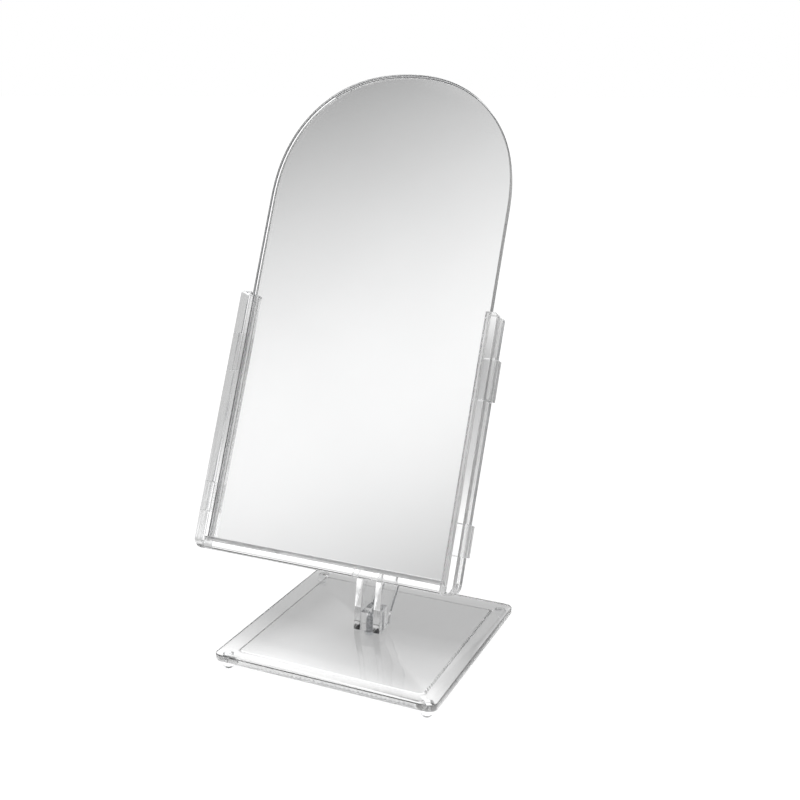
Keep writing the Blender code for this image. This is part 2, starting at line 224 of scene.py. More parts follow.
def holed_plate(outline, holes, place, start, end):
    """Plate with round holes: outline and holes are 2-D loops, place(a, b, t) gives the 3-D point."""
    bm = bmesh.new()
    loops = []
    edges = []
    for loop in [outline] + holes:
        verts = [bm.verts.new(place(a, b, start)) for a, b in loop]
        loops.append(verts)
        for i in range(len(verts)):
            edges.append(bm.edges.new((verts[i], verts[(i + 1) % len(verts)])))
    filled = bmesh.ops.triangle_fill(bm, use_beauty=True, use_dissolve=False, edges=edges)
    caps = [g for g in filled["geom"] if isinstance(g, bmesh.types.BMFace)]
    twin = {}
    for verts, loop in zip(loops, [outline] + holes):
        for vert, (a, b) in zip(verts, loop):
            twin[vert] = bm.verts.new(place(a, b, end))
    for face in caps:
        bm.faces.new([twin[v] for v in reversed(face.verts)])
    for verts in loops:
        for i in range(len(verts)):
            j = (i + 1) % len(verts)
            bm.faces.new((verts[i], verts[j], twin[verts[j]], twin[verts[i]]))
    return bm


def circle(a, b, radius, steps=40):
    turns = [2.0 * math.pi * i / steps for i in range(steps)]
    return [(a + radius * math.cos(t), b + radius * math.sin(t)) for t in turns]


def join(bm, other):
    """Adds the second mesh to the first and frees it."""
    data = bpy.data.meshes.new("joined")
    other.to_mesh(data)
    other.free()
    bm.from_mesh(data)
    bpy.data.meshes.remove(data)
    return bm


SIDE_CHATTER = (0.3, 0.3, 0.4, 1.3)  # back, left, front and right side


def rounded_square(half, radius, z, chatter=0.0, steps=12, side_steps=160):
    """Square ring with rounded corners; chatter waves the straight sides like a cutter's marks."""
    points = []
    for quarter in range(4):
        cx = (half - radius) * (1 if quarter in (0, 3) else -1)
        cy = (half - radius) * (1 if quarter in (0, 1) else -1)
        for i in range(steps + 1):
            turn = math.radians(90.0 * (quarter + i / steps))
            points.append((cx + radius * math.cos(turn), cy + radius * math.sin(turn), z))
        end = math.radians(90.0 * (quarter + 1))
        along = (-math.sin(end), math.cos(end))
        out = (math.cos(end), math.sin(end))
        length = 2.0 * (half - radius)
        for i in range(1, side_steps):
            run = length * i / side_steps
            fade = min(1.0, run / 6.0, (length - run) / 6.0)
            wave = math.sin(run * 1.75) + 0.45 * math.sin(run * 0.83 + quarter) * math.sin(run * 0.21)
            shift = chatter * wave * fade * SIDE_CHATTER[quarter]
            points.append(
                (
                    cx + radius * out[0] + along[0] * run + out[0] * shift,
                    cy + radius * out[1] + along[1] * run + out[1] * shift,
                    z,
                )
            )
    return points


def smooth_run(points, steps):
    padded = [points[0]] + points + [points[-1]]
    run = []
    for i in range(1, len(padded) - 2):
        p0, p1, p2, p3 = (Vector(p) for p in padded[i - 1 : i + 3])
        for s in range(steps):
            t = s / steps
            curve = 2.0 * p1 + (p2 - p0) * t
            curve += (2.0 * p0 - 5.0 * p1 + 4.0 * p2 - p3) * t * t
            curve += (3.0 * p1 - p0 - 3.0 * p2 + p3) * t * t * t
            run.append(tuple(curve * 0.5))
    run.append(points[-1])
    return run


# ---------------------------------------------------------------- materials


def shader_material(name):
    mat = bpy.data.materials.new(name)
    mat.use_nodes = True
    nodes = mat.node_tree.nodes
    return mat, nodes, mat.node_tree.links, nodes["Principled BSDF"]


def object_mapping(nodes, links, scale):
    coords = nodes.new("ShaderNodeTexCoord")
    mapping = nodes.new("ShaderNodeMapping")
    mapping.inputs["Scale"].default_value = scale
    links.new(coords.outputs["Object"], mapping.inputs["Vector"])
    return mapping


def noise_node(nodes, links, mapping, scale, detail=3.0, roughness=0.5):
    noise = nodes.new("ShaderNodeTexNoise")
    noise.inputs["Scale"].default_value = scale
    noise.inputs["Detail"].default_value = detail
    noise.inputs["Roughness"].default_value = roughness
    links.new(mapping.outputs["Vector"], noise.inputs["Vector"])
    return noise


def ramp_node(nodes, links, source, stops):
    ramp = nodes.new("ShaderNodeValToRGB")
    elements = ramp.color_ramp.elements
    while len(elements) < len(stops):
        elements.new(0.5)
    for element, (position, value) in zip(elements, stops):
        element.position = position
        element.color = value if isinstance(value, tuple) else (value, value, value, 1.0)
    links.new(source, ramp.inputs["Fac"])
    return ramp


def acrylic(name, color, rough, haze=0.012, scratch=(900.0, 60.0, 60.0), wave=0.02, streak=None, lean=0.0):
    """Clear polished sheet: hand-polish haze, hairline scratches and a slight surface wave.

    streak is (strength, x, y, z): cutter lines with those frequencies, in axes leant back with the head.
    """
    mat, nodes, links, shader = shader_material(name)
    shader.inputs["Base Color"].default_value = color
    shader.inputs["Transmission Weight"].default_value = 1.0
    shader.inputs["IOR"].default_value = 1.49
    mapping = object_mapping(nodes, links, (1.0, 1.0, 1.0))
    smudge = noise_node(nodes, links, mapping, 26.0, 4.0, 0.6)
    smudge_ramp = ramp_node(nodes, links, smudge.outputs["Fac"], [(0.45, 0.0), (0.8, haze)])
    hair_map = object_mapping(nodes, links, scratch)
    hair = noise_node(nodes, links, hair_map, 1.0, 2.0, 0.5)
    hair_ramp = ramp_node(nodes, links, hair.outputs["Fac"], [(0.66, 0.0), (0.72, haze * 1.5)])
    total = nodes.new("ShaderNodeMath")
    total.operation = "ADD"
    links.new(smudge_ramp.outputs["Color"], total.inputs[0])
    links.new(hair_ramp.outputs["Color"], total.inputs[1])
    final = nodes.new("ShaderNodeMath")
    final.operation = "ADD"
    final.inputs[1].default_value = rough
    links.new(total.outputs["Value"], final.inputs[0])
    links.new(final.outputs["Value"], shader.inputs["Roughness"])
    ripple = noise_node(nodes, links, mapping, 55.0, 1.0, 0.4)
    bump = nodes.new("ShaderNodeBump")
    bump.inputs["Strength"].default_value = wave
    bump.inputs["Distance"].default_value = 0.0004
    links.new(ripple.outputs["Fac"], bump.inputs["Height"])
    if streak:
        turned = nodes.new("ShaderNodeMapping")
        turned.inputs["Rotation"].default_value = (lean, 0.0, 0.0)
        stretched = nodes.new("ShaderNodeMapping")
        stretched.inputs["Scale"].default_value = streak[1:]
        links.new(mapping.outputs["Vector"], turned.inputs["Vector"])
        links.new(turned.outputs["Vector"], stretched.inputs["Vector"])
        lines = noise_node(nodes, links, stretched, 1.0, 2.0, 0.5)
        marks = nodes.new("ShaderNodeBump")
        marks.inputs["Strength"].default_value = streak[0]
        marks.inputs["Distance"].default_value = 0.0003
        links.new(lines.outputs["Fac"], marks.inputs["Height"])
        links.new(bump.outputs["Normal"], marks.inputs["Normal"])
        bump = marks
    links.new(bump.outputs["Normal"], shader.inputs["Normal"])
    return mat


def sawn_acrylic(name, clear, rough_low, rough_high, stretch=(60.0, 900.0, 25.0), lean=TILT, relief=0.4):
    """Sawn faces: frosted, partly scattering, with saw lines along the bar."""
    mat, nodes, links, shader = shader_material(name)
    shader.inputs["Transmission Weight"].default_value = clear
    shader.inputs["IOR"].default_value = 1.49
    turned = nodes.new("ShaderNodeMapping")
    turned.inputs["Rotation"].default_value = (lean, 0.0, 0.0)
    mapping = object_mapping(nodes, links, (1.0, 1.0, 1.0))
    links.new(mapping.outputs["Vector"], turned.inputs["Vector"])
    stretched = nodes.new("ShaderNodeMapping")
    stretched.inputs["Scale"].default_value = stretch
    links.new(turned.outputs["Vector"], stretched.inputs["Vector"])
    lines = noise_node(nodes, links, stretched, 1.0, 4.0, 0.6)
    tone = ramp_node(nodes, links, lines.outputs["Fac"], [(0.3, 0.9), (0.7, 1.0)])
    links.new(tone.outputs["Color"], shader.inputs["Base Color"])
    rough = ramp_node(nodes, links, lines.outputs["Fac"], [(0.3, rough_low), (0.7, rough_high)])
    links.new(rough.outputs["Color"], shader.inputs["Roughness"])
    bump = nodes.new("ShaderNodeBump")
    bump.inputs["Strength"].default_value = relief
    bump.inputs["Distance"].default_value = 0.0003
    links.new(lines.outputs["Fac"], bump.inputs["Height"])
    links.new(bump.outputs["Normal"], shader.inputs["Normal"])
    return mat


def solid_material(name, dark, light, rough_low, rough_high, grain, metallic=0.0, bump=0.1, stretch=None):
    """Opaque finish: two tones mixed by noise, matching roughness change and fine relief."""
    mat, nodes, links, shader = shader_material(name)
    shader.inputs["Metallic"].default_value = metallic
    mapping = object_mapping(nodes, links, stretch or (1.0, 1.0, 1.0))
    noise = noise_node(nodes, links, mapping, grain, 6.0, 0.65)
    tone = ramp_node(nodes, links, noise.outputs["Fac"], [(0.3, dark), (0.7, light)])
    links.new(tone.outputs["Color"], shader.inputs["Base Color"])
    shine = ramp_node(nodes, links, noise.outputs["Fac"], [(0.3, rough_low), (0.7, rough_high)])
    links.new(shine.outputs["Color"], shader.inputs["Roughness"])
    relief = nodes.new("ShaderNodeBump")
    relief.inputs["Strength"].default_value = bump
    relief.inputs["Distance"].default_value = 0.0003
    links.new(noise.outputs["Fac"], relief.inputs["Height"])
    links.new(relief.outputs["Normal"], shader.inputs["Normal"])
    return mat


def silver_material():
    """Silver coat seen through the panel: almost perfect, with faint cloudiness."""
    mat, nodes, links, shader = shader_material("silver_coat")
    shader.inputs["Metallic"].default_value = 1.0
    mapping = object_mapping(nodes, links, (1.0, 1.0, 1.0))
    cloud = noise_node(nodes, links, mapping, 14.0, 3.0, 0.5)
    tone = ramp_node(
        nodes, links, cloud.outputs["Fac"],
        [(0.3, (0.932, 0.933, 0.934, 1.0)), (0.7, (0.951, 0.952, 0.953, 1.0))],
    )
    links.new(tone.outputs["Color"], shader.inputs["Base Color"])
    shine = ramp_node(nodes, links, cloud.outputs["Fac"], [(0.5, 0.0), (1.0, 0.012)])
    links.new(shine.outputs["Color"], shader.inputs["Roughness"])
    return mat


BASE_CLEAR = acrylic("base_clear", (0.962, 0.963, 0.964, 1.0), 0.0)
BASE_UNDER = acrylic("base_underside", (0.904, 0.905, 0.907, 1.0), 0.16, 0.05)
BASE_EDGE = sawn_acrylic("base_edge", 0.82, 0.03, 0.2, (420.0, 420.0, 160.0), 0.0, 0.3)
ARM_CLEAR = acrylic("arm_clear", (0.978, 0.979, 0.98, 1.0), 0.0, streak=(0.2, 700.0, 30.0, 18.0))
FRAME_CLEAR = acrylic(
    "frame_clear", (0.975, 0.976, 0.977, 1.0), 0.0, 0.015, streak=(0.45, 900.0, 900.0, 9.0), lean=TILT
)
RAIL_CLEAR = acrylic("rail_clear", (0.975, 0.976, 0.977, 1.0), 0.0, 0.015, streak=(0.12, 9.0, 900.0, 900.0))
PANEL_CLEAR = acrylic("panel_clear", (0.988, 0.989, 0.989, 1.0), 0.0, 0.004, wave=0.0)
SLOT_SAWN = sawn_acrylic("sawn_slot", 0.72, 0.2, 0.5)
RAIL_SAWN = sawn_acrylic("sawn_rail", 0.75, 0.25, 0.5, (25.0, 900.0, 200.0))
RECESS_WALL = sawn_acrylic("recess_wall", 0.6, 0.25, 0.5)
PANEL_EDGE = sawn_acrylic("panel_edge", 0.75, 0.1, 0.25)
FOOT_SOFT = acrylic("foot_soft", (0.93, 0.935, 0.94, 1.0), 0.08, 0.05)
CUSHION_SOFT = acrylic("cushion_soft", (0.93, 0.935, 0.94, 1.0), 0.25, 0.05)
KNOB_CLEAR = acrylic("knob_clear", (0.95, 0.957, 0.96, 1.0), 0.02, 0.03)
SILVER = silver_material()
BACKING = solid_material(
    "backing_grey", (0.20, 0.21, 0.225, 1.0), (0.25, 0.26, 0.275, 1.0), 0.42, 0.6, 900.0, bump=0.25
)
STEEL = solid_material(
    "bright_steel", (0.52, 0.53, 0.55, 1.0), (0.72, 0.73, 0.74, 1.0), 0.16, 0.32, 1400.0,
    metallic=1.0, bump=0.05,
)
NYLON = solid_material(
    "natural_nylon", (0.78, 0.77, 0.73, 1.0), (0.86, 0.85, 0.82, 1.0), 0.35, 0.5, 1600.0, bump=0.15
)


# ---------------------------------------------------------------- base


def tray_mesh():
    """Tray as one skin: rounded top edge, walls, flat rim underneath and a drafted recess."""
    ease = 0.7
    rings = [rounded_square(BASE_HALF - ease, BASE_CORNER - ease, BASE_TOP)]
    for k in range(1, 5):
        turn = math.radians(90.0 * k / 4)
        inset = ease * (1.0 - math.sin(turn))
        drop = ease * (1.0 - math.cos(turn))
        rings.append(rounded_square(BASE_HALF - inset, BASE_CORNER - inset, BASE_TOP - drop))
    for k in range(0, 4):
        turn = math.radians(90.0 * k / 3)
        inset = 0.4 * (1.0 - math.cos(turn))
        drop = 0.4 * math.sin(turn)
        rings.append(
            rounded_square(BASE_HALF - inset, BASE_CORNER - inset, BASE_BOTTOM + 0.4 - drop)
        )
    recess = TRAY_RECESS + TRAY_DRAFT * 0.4
    rings.append(rounded_square(recess, 4.0, BASE_BOTTOM, 0.12))
    rings.append(rounded_square(recess - 0.35, 4.0, BASE_BOTTOM + 0.3, 0.16))
    rings.append(rounded_square(TRAY_RECESS - TRAY_DRAFT + 0.4, 4.0, TRAY_CEILING - 0.5, 0.16))
    rings.append(rounded_square(TRAY_RECESS - TRAY_DRAFT - 0.1, 4.0, TRAY_CEILING, 0.1))
    bm = bmesh.new()
    loops = [[bm.verts.new(p) for p in ring] for ring in rings]
    bm.faces.new(loops[0])
    for k, (low, high) in enumerate(zip(loops, loops[1:])):
        for i in range(len(low)):
            j = (i + 1) % len(low)
            face = bm.faces.new((low[i], low[j], high[j], high[i]))
            face.material_index = 2 if k in (3, 4, 5) else 3 if k in (9, 10) else 0
    ceiling = bm.faces.new(loops[-1])
    ceiling.material_index = 1
    return bm


def thread(centre, axis, start, end, core, crest, pitch, steps=28):
    """Helical thread skin from start to end, closed at both ends; a taper ends it in a point."""
    bm = bmesh.new()
    span = end - start
    direction = 1.0 if span > 0 else -1.0
    rows = max(8, int(abs(span) / pitch * 6))
    rings = []
    for r in range(rows + 1):
        along = start + span * r / rows
        taper = min(1.0, max(0.0, abs(end - along) / (2.2 * crest)))
        ring = []
        for i in range(steps):
            phase = (abs(along - start) / pitch - i / steps) % 1.0
            tooth = 1.0 - abs(2.0 * phase - 1.0)
            radius = (core + (crest - core) * tooth) * (0.12 + 0.88 * taper ** 0.8)
            turn = direction * 2.0 * math.pi * i / steps
            side, other = radius * math.cos(turn), radius * math.sin(turn)
            point = {"X": (along, side, other), "Y": (side, along, other), "Z": (side, other, along)}[axis]
            ring.append(bm.verts.new(Vector(point) + Vector(centre)))
        rings.append(ring)
    bm.faces.new(rings[0])
    bm.faces.new(rings[-1])
    for low, high in zip(rings, rings[1:]):
        for i in range(steps):
            j = (i + 1) % steps
            bm.faces.new((low[i], low[j], high[j], high[i]))
    return bm


def hex_socket_head(centre, axis, face, height, radius, socket, up, steps=48):
    """Domed screw head with a hexagon socket. face is where it sits, up is +1 or -1 along the axis."""
    bm = bmesh.new()
    profile = [(radius, 0.0), (radius, height * 0.35), (radius * 0.96, height * 0.6)]
    profile += [(radius * 0.84, height * 0.82), (radius * 0.66, height * 0.95), (socket * 1.25, height)]
    rings = []

    def place(radial, along, turn):
        side, other = radial * math.cos(turn), radial * math.sin(turn)
        t = face + up * along
        point = {"X": (t, side, other), "Y": (side, t, other), "Z": (side, other, t)}[axis]
        return bm.verts.new(Vector(point) + Vector(centre))

    for radial, along in profile:
        rings.append([place(radial, along, 2.0 * math.pi * i / steps) for i in range(steps)])

    def hexagon(turn, size):
        sector = (turn % (math.pi / 3.0)) - math.pi / 6.0
        return size / math.cos(sector)

    for along, size in ((height, socket), (height * 0.35, socket * 0.97)):
        ring = []
        for i in range(steps):
            turn = 2.0 * math.pi * i / steps
            ring.append(place(hexagon(turn, size), along, turn))
        rings.append(ring)
    bm.faces.new(rings[0])
    for low, high in zip(rings, rings[1:]):
        for i in range(steps):
            j = (i + 1) % steps
            bm.faces.new((low[i], low[j], high[j], high[i]))
    bm.faces.new(rings[-1])
    return bm


new_object(
    "tray_body", sharpen(tray_mesh()), STAND, "base", ["base_tray"],
    [BASE_CLEAR, BASE_UNDER, BASE_EDGE, RECESS_WALL],
)

FEET = {"front_left": (-1, -1), "front_right": (1, -1), "back_left": (-1, 1), "back_right": (1, 1)}
for tag, (sx, sy) in FEET.items():
    spot = (sx * FOOT_POSITION, sy * FOOT_POSITION, 0.0)
    profile = [(0.0, -LIFT), (2.0, -LIFT)]
    for degrees in range(-58, 1, 6):
        turn = math.radians(degrees)
        profile.append((4.3 * math.cos(turn), 3.65 - LIFT + 4.3 * math.sin(turn)))
    profile += [(4.3, 3.3), (4.2, 3.62), (3.9, 3.7), (1.9, 3.7), (1.9, 5.9), (0.0, 6.0)]
    foot = sharpen(lathe(profile, spot, "Z"), 50.0)
    new_object("foot_dome_" + tag, foot, STAND, "base", ["foot_" + tag], [FOOT_SOFT])

block = box((-BLOCK_HALF, BLOCK_FRONT, BASE_TOP + 0.2), (BLOCK_HALF, BLOCK_BACK, BLOCK_TOP))
new_object(
    "foot_block", block, STAND, "base", ["arm_foot_block"], [ARM_CLEAR], bevel=0.3
)
for tag, y in zip(("front", "back"), BASE_SCREW_Y):
    spot = (0.0, y, 0.0)
    screw = thread(spot, "Z", 4.9, 22.0, 1.5, 2.05, 0.8)
    join(screw, sharpen(hex_socket_head(spot, "Z", 4.75, 2.1, 3.7, 1.25, -1.0)))
    new_object("screw_base_" + tag, screw, STAND, "base", ["base_screw_" + tag], [STEEL])
    ring = sharpen(tube(2.15, 4.3, 4.8, 5.65, spot, "Z"))
    new_object(
        "washer_base_" + tag, ring, STAND, "base", ["base_washer_" + tag], [STEEL], bevel=0.12
    )


# ---------------------------------------------------------------- arm

BOLT_CLEARANCE = 3.2


def arm_outline():
    front = [(-7.0, BASE_TOP + 0.2), (-5.6, 24.0), (-2.8, 41.0), (2.0, 68.0)]
    front += [(6.5, 98.0), (8.4, 128.0), (5.6, 156.0), (-2.0, 182.0), (-8.6, 201.0)]
    rear = [(25.0, 190.0), (38.0, 164.0), (46.5, 134.0), (50.0, 104.0), (48.5, 76.0)]
    rear += [(43.0, 52.0), (34.5, 35.5), (24.5, 24.6), (17.2, 16.8), (14.0, BASE_TOP + 0.2)]
    outline = smooth_run(front, 8)
    for degrees in range(195, 20, -6):
        turn = math.radians(degrees)
        outline.append((PIN[1] + CHEEK_EYE * math.cos(turn), PIN[2] + CHEEK_EYE * math.sin(turn)))
    outline += smooth_run(rear, 8)
    return outline


for tag, side in (("left", -1), ("right", 1)):
    holes = [circle(PIN[1], PIN[2], BOLT_CLEARANCE), circle(SPACER[1], SPACER[2], 2.2, 32)]
    plate = holed_plate(
        arm_outline(), holes, lambda a, b, t: (t, a, b), side * CHEEK_INNER, side * CHEEK_OUTER
    )
    new_object(
        "arm_cheek_" + tag, plate, STAND, "base", ["cheek_" + tag], [ARM_CLEAR],
        bevel=0.35,
    )

new_object(
    "spacer_tube", sharpen(tube(2.2, 6.0, -5.3, 5.3, SPACER, "X")), STAND, "base",
    ["arm_spacer"], [ARM_CLEAR], bevel=0.3,
)
through = thread(SPACER, "X", -11.1, 14.0, 1.6, 1.98, 0.7)
join(through, sharpen(hex_socket_head(SPACER, "X", -11.1, 2.7, 3.8, 1.25, -1.0)))
new_object(
    "spacer_screw", through, STAND, "base", ["arm_spacer_screw"], [STEEL]
)


def dome_nut(centre, start):
    """Hexagon nut with a domed cap, along +X."""
    bm = bmesh.new()
    rings = []
    steps = 48
    for along, scale, dome in (
        (0.0, 0.94, 0.0), (0.3, 1.0, 0.0), (3.0, 1.0, 0.0), (3.3, 0.94, 0.4),
        (3.5, 0.86, 1.0), (4.3, 0.76, 1.0), (5.0, 0.55, 1.0), (5.45, 0.3, 1.0),
    ):
        ring = []
        for i in range(steps):
            turn = 2.0 * math.pi * i / steps
            sector = (turn % (math.pi / 3.0)) - math.pi / 6.0
            flat = min(3.12 / math.cos(sector), 3.55)
            radius = scale * (flat * (1.0 - dome) + 3.3 * dome)
            point = Vector((start + along, radius * math.cos(turn), radius * math.sin(turn)))
            ring.append(bm.verts.new(point + Vector(centre)))
        rings.append(ring)
    for low, high in zip(rings, rings[1:]):
        for i in range(steps):
            j = (i + 1) % steps
            bm.faces.new((low[i], low[j], high[j], high[i]))
    bm.faces.new(rings[0])
    bm.faces.new(rings[-1])
    return bm


new_object(
    "spacer_nut", sharpen(dome_nut(SPACER, 11.1), 28.0), STAND, "base", ["arm_spacer_nut"], [STEEL]
)

bolt = lathe([(0.0, -11.0), (3.0, -11.0), (3.0, 19.6), (2.6, 20.0), (0.0, 20.0)], PIN, "X")
join(bolt, sharpen(hex_socket_head(PIN, "X", -11.1, 4.2, 5.8, 2.0, -1.0)))
new_object("tilt_bolt", bolt, STAND, "base", ["pivot_bolt"], [STEEL])
RINGS = {
    "friction_ring_left": ("friction_washer_left", -5.4, -4.65, 8.5, "nylon", NYLON),
    "friction_ring_right": ("friction_washer_right", 4.65, 5.4, 8.5, "nylon", NYLON),
    "knob_ring": ("knob_washer", 11.1, 12.0, 7.0, "steel", STEEL),
}
for name, (node, start, end, radius, slot_name, mat) in RINGS.items():
    ring = sharpen(tube(3.1, radius, start, end, PIN, "X"))
    new_object(name, ring, STAND, "base", [node], [mat], bevel=0.12)


def fluted_knob():
    """Tension knob: sixteen soft flutes, eased rim and a shallow dished face."""
    bm = bmesh.new()
    steps = 128
    stations = [(12.15, 0.93), (12.5, 0.985), (13.2, 1.0), (20.5, 0.97), (22.0, 0.95), (22.7, 0.9)]
    stations += [(23.0, 0.82), (22.8, 0.7), (22.5, 0.5), (22.4, 0.25)]
    rings = []
    for x, scale in stations:
        flute = 0.6 if scale > 0.85 else 0.0
        ring = []
        for i in range(steps):
            turn = 2.0 * math.pi * i / steps
            radius = scale * (10.4 + flute * math.cos(16.0 * turn))
            ring.append(bm.verts.new((x, PIN[1] + radius * math.cos(turn), PIN[2] + radius * math.sin(turn))))
        rings.append(ring)
    for low, high in zip(rings, rings[1:]):
        for i in range(steps):
            j = (i + 1) % steps
            bm.faces.new((low[i], low[j], high[j], high[i]))
    mouth = circle(PIN[1], PIN[2], BOLT_CLEARANCE, steps)
    bore = [[bm.verts.new((x, y, z)) for y, z in mouth] for x in (12.15, 20.6)]
    for low, high in ((rings[0], bore[0]), (bore[0], bore[1])):
        for i in range(steps):
            j = (i + 1) % steps
            bm.faces.new((low[i], low[j], high[j], high[i]))
    bm.faces.new(bore[1])
    bm.faces.new(rings[-1])
    return bm


new_object(
    "clamp_knob", sharpen(fluted_knob(), 40.0), STAND, "knob", ["tension_knob"], [KNOB_CLEAR]
)


# ---------------------------------------------------------------- head


def hv(u, v, n):
    """Point of the head frame: U across, V up the mirror, N out of its face."""
    return (u, PIN_N - n, v - PIN_V)


def head_box(u_range, v_range, n_range):
    return box(hv(u_range[0], v_range[0], n_range[1]), hv(u_range[1], v_range[1], n_range[0]))


def panel_outline(inset, steps=120):
    half = PANEL_HALF - inset
    height = ARCH_HEIGHT - inset
    points = [(-half, PANEL_BOTTOM + inset), (half, PANEL_BOTTOM + inset)]
    power = 2.0 / ARCH_POWER
    for i in range(steps + 1):
        turn = math.pi * i / steps
        u = half * math.copysign(abs(math.cos(turn)) ** power, math.cos(turn))
        v = ARCH_BASE + height * math.sin(turn) ** power
        points.append((u, v))
    return points


def flat_plate(outline, n_front, n_back):
    return prism([hv(u, v, n_front) for u, v in outline], [hv(u, v, n_back) for u, v in outline])


SILVER_INSET = 1.0
sheet = flat_plate(panel_outline(0.0), 0.0, -PANEL_THICK)
for face in sheet.faces:
    face.material_index = 1 if len(face.verts) == 4 else 0
new_object(
    "panel_sheet", sheet, HEAD, "mirror_head", ["mirror_panel"],
    [PANEL_CLEAR, PANEL_EDGE], bevel=0.3,
)
new_object(
    "silver_sheet", sharpen(flat_plate(panel_outline(SILVER_INSET), -PANEL_THICK - 0.1, -PANEL_THICK - 0.35)),
    HEAD, "mirror_head", ["mirror_silver"], [SILVER],
)
new_object(
    "backing_sheet", sharpen(flat_plate(panel_outline(0.4), -PANEL_THICK - 0.5, -PANEL_THICK - 1.6)),
    HEAD, "mirror_head", ["mirror_backing"], [BACKING], bevel=0.2,
)


def channel_mesh(side):
    """Side channel bar with a rounded lower corner; the slot, open at the top, and the strap notches are cut
    from it afterwards.
    """
    n0, n1 = FRAME_BACK, FRAME_FRONT
    corner, ease = 7.5, 2.5
    outline = [(FRAME_INNER, RAIL_BOTTOM)]
    for i in range(13):
        turn = math.radians(-90.0 + 90.0 * i / 12)
        outline.append(
            (FRAME_OUTER - corner + corner * math.cos(turn), RAIL_BOTTOM + corner + corner * math.sin(turn))
        )
    for i in range(7):
        turn = math.radians(90.0 * i / 6)
        outline.append(
            (FRAME_OUTER - ease + ease * math.cos(turn), CHANNEL_TOP - ease + ease * math.sin(turn))
        )
    outline.append((FRAME_INNER, CHANNEL_TOP))
    return prism([hv(side * u, v, n1) for u, v in outline], [hv(side * u, v, n0) for u, v in outline])


def cut(obj, cutters):
    """Subtracts hidden cutter meshes, bakes the result and removes them."""
    made = []
    for bm in cutters:
        bmesh.ops.scale(bm, vec=(MM, MM, MM), verts=bm.verts)
        bmesh.ops.recalc_face_normals(bm, faces=bm.faces)
        bmesh.ops.transform(bm, matrix=HEAD, verts=bm.verts)
        data = bpy.data.meshes.new("cutter")
        bm.to_mesh(data)
        bm.free()
        for mat in obj.data.materials:
            data.materials.append(mat)
        tool = bpy.data.objects.new("cutter", data)
        bpy.context.scene.collection.objects.link(tool)
        modifier = obj.modifiers.new("cut", "BOOLEAN")
        modifier.operation = "DIFFERENCE"
        modifier.solver = "EXACT"
        modifier.object = tool
        made.append(tool)
    bevel = obj.modifiers.get("edge")
    settings = None
    if bevel is not None:
        settings = (bevel.width, bevel.segments, bevel.angle_limit)
        obj.modifiers.remove(bevel)
    bpy.context.view_layer.update()
    graph = bpy.context.evaluated_depsgraph_get()
    baked = bpy.data.meshes.new_from_object(obj.evaluated_get(graph))
    obj.modifiers.clear()
    old = obj.data
    obj.data = baked
    bpy.data.meshes.remove(old)
    for polygon in obj.data.polygons:
        polygon.use_smooth = True
    if settings:
        modifier = obj.modifiers.new("edge", "BEVEL")
        modifier.width, modifier.segments, modifier.angle_limit = settings
        modifier.limit_method = "ANGLE"
        modifier.harden_normals = True
    for tool in made:
        bpy.data.objects.remove(tool, do_unlink=True)


for tag, side in (("left", -1), ("right", 1)):
    bar = new_object(
        "frame_channel_" + tag, channel_mesh(side), HEAD, "mirror_head",
        ["channel_" + tag], [FRAME_CLEAR, SLOT_SAWN], bevel=0.6,
    )
    slot_u = sorted((side * (FRAME_INNER - 3.0), side * SLOT_SIDE))
    wide_u = sorted((side * (FRAME_INNER - 3.0), side * (FRAME_OUTER + 3.0)))
    slot_tool = head_box(slot_u, (SLOT_BOTTOM, CHANNEL_TOP + 5.0), (SLOT_BACK, SLOT_FRONT))
    for face in slot_tool.faces:
        face.material_index = 1
    tools = [slot_tool]
    for low, high in (UPPER_STRAP, LOWER_STRAP):
        tools.append(
            head_box(wide_u, (low - 0.1, high + 0.1), (FRAME_BACK - 3.0, FRAME_BACK + STRAP_THICK + 0.1))
        )
    cut(bar, tools)


def rail_section():
    points = [(FRAME_BACK, RAIL_BOTTOM)]
    for i in range(13):
        turn = math.radians(-90.0 + 90.0 * i / 12)
        n = FRAME_FRONT - RAIL_ROUND + RAIL_ROUND * math.cos(turn)
        v = RAIL_BOTTOM + RAIL_ROUND + RAIL_ROUND * math.sin(turn)
        points.append((n, v))
    points += [(FRAME_FRONT, RAIL_TOP), (SLOT_FRONT, RAIL_TOP), (SLOT_FRONT, SLOT_BOTTOM)]
    points += [(SLOT_BACK, SLOT_BOTTOM), (SLOT_BACK, RAIL_TOP), (FRAME_BACK, RAIL_TOP)]
    return points


rail_half = FRAME_INNER - 0.2
rail = prism(*([hv(u, v, n) for n, v in rail_section()] for u in (-rail_half, rail_half)))
for face in rail.faces:
    middle = face.calc_center_median()
    n, v = PIN_N - middle.y, middle.z + PIN_V
    if abs(middle.x) < 1.0 and SLOT_BACK - 0.1 < n < SLOT_FRONT + 0.1 and v < RAIL_TOP - 0.5:
        face.material_index = 1 if v > SLOT_BOTTOM - 0.5 else 0
new_object(
    "frame_rail", rail, HEAD, "mirror_head", ["bottom_rail"], [RAIL_CLEAR, RAIL_SAWN],
    bevel=0.4,
)
for name, v_range in (("upper", UPPER_STRAP), ("lower", LOWER_STRAP)):
    new_object(
        "cross_strap_" + name,
        head_box((-FRAME_OUTER, FRAME_OUTER), v_range, (FRAME_BACK, FRAME_BACK + STRAP_THICK)),
        HEAD, "mirror_head", [name + "_strap"], [FRAME_CLEAR], bevel=0.18,
    )
    for tag, side in (("left", -1), ("right", 1)):
        inner = FRAME_OUTER + 0.1
        pad_u = sorted((side * inner, side * (inner + PAD_THICK)))
        new_object(
            "pad_" + name + "_" + tag, head_box(pad_u, v_range, (FRAME_BACK, PAD_FRONT)), HEAD, "mirror_head",
            ["side_pad_" + name + "_" + tag], [FRAME_CLEAR], bevel=0.22,
        )
